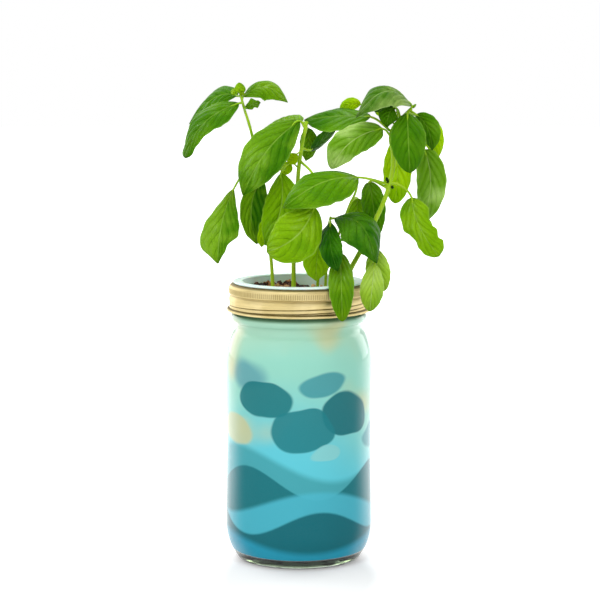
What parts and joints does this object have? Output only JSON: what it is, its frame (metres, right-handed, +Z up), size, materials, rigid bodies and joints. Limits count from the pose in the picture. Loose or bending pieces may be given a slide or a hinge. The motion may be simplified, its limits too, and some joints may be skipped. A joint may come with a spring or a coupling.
{
  "type": "hydroponic jar planter",
  "caption": "Self-watering planter: a glass jar with a printed sleeve and a screw band, and a slotted pot in its mouth with a wick, a fibre plug and a leafy herb.",
  "frame": {"origin": "centre of the jar's base, in the plane of the ring that it stands on", "axes": "+Z up along the jar's axis, -Y towards the viewer of the picture, +X to that viewer's right"},
  "size_m": [0.1686, 0.0993, 0.309],
  "materials": {
    "jar_glass": "clear, glossy",
    "sleeve_film": "printed film, satin",
    "band_lacquer": "gold lacquer, satin",
    "pot_plastic": "moulded, satin",
    "wick_felt": "felt",
    "medium_fibre": "coarse fibre",
    "chip_husk": "rough husk",
    "granule_carbon": "matt",
    "bud_green": "soft",
    "stem_green": "smooth, fresh",
    "leaf_green": "satin, veined"
  },
  "bodies": {
    "jar": {"glass_jar": "jar_glass", "printed_sleeve": "sleeve_film", "carbon_granules": "granule_carbon"},
    "band": {"screw_band": "band_lacquer"},
    "pot": {"net_pot": "pot_plastic", "capillary_wick": "wick_felt", "growing_medium": "medium_fibre", "husk_chips": "chip_husk", "buds": "bud_green", "stem_left": "stem_green", "stem_middle": "stem_green", "stem_thin": "stem_green", "stem_slim": "stem_green", "stem_right": "stem_green", "leaf_left_outer": "leaf_green", "leaf_left_back": "leaf_green", "leaf_left_inner": "leaf_green", "leaflet_left": "leaf_green", "leaf_left_low": "leaf_green", "leaf_left_low_inner": "leaf_green", "leaf_left_low_back": "leaf_green", "leaf_middle_front": "leaf_green", "leaf_middle_back": "leaf_green", "leaf_middle_low": "leaf_green", "leaf_front_round": "leaf_green", "leaf_stem_back": "leaf_green", "leaf_stem_side": "leaf_green", "leaflet_middle": "leaf_green", "leaflet_low": "leaf_green", "leaf_front_arch": "leaf_green", "leaf_front_dark": "leaf_green", "leaf_front_low": "leaf_green", "leaf_over_band": "leaf_green", "leaf_slim_back": "leaf_green", "leaf_front_long": "leaf_green", "leaf_right_shaded": "leaf_green", "leaf_right_low": "leaf_green", "leaf_right_inner": "leaf_green", "leaf_beside_band": "leaf_green", "leaf_beside_back": "leaf_green", "leaf_upper_middle": "leaf_green", "leaf_upper_flat": "leaf_green", "leaf_upper_small": "leaf_green", "leaf_top_dark": "leaf_green", "leaf_top_under": "leaf_green", "leaf_top_light": "leaf_green", "leaf_right_long": "leaf_green", "leaf_right_back": "leaf_green", "leaf_right_front": "leaf_green", "leaf_right_dark": "leaf_green", "leaf_top_arch": "leaf_green"}
  },
  "joints": [
    {"name": "pot_lift", "type": "slide", "parent": "jar", "child": "pot", "axis": [0, 0, 1], "range_m": [0, 0.19]},
    {"name": "band_turn", "type": "hinge", "parent": "jar", "child": "band", "pos_m": [0, 0, 0.17], "axis": [0, 0, 1], "range_deg": [0, 360]}
  ]
}
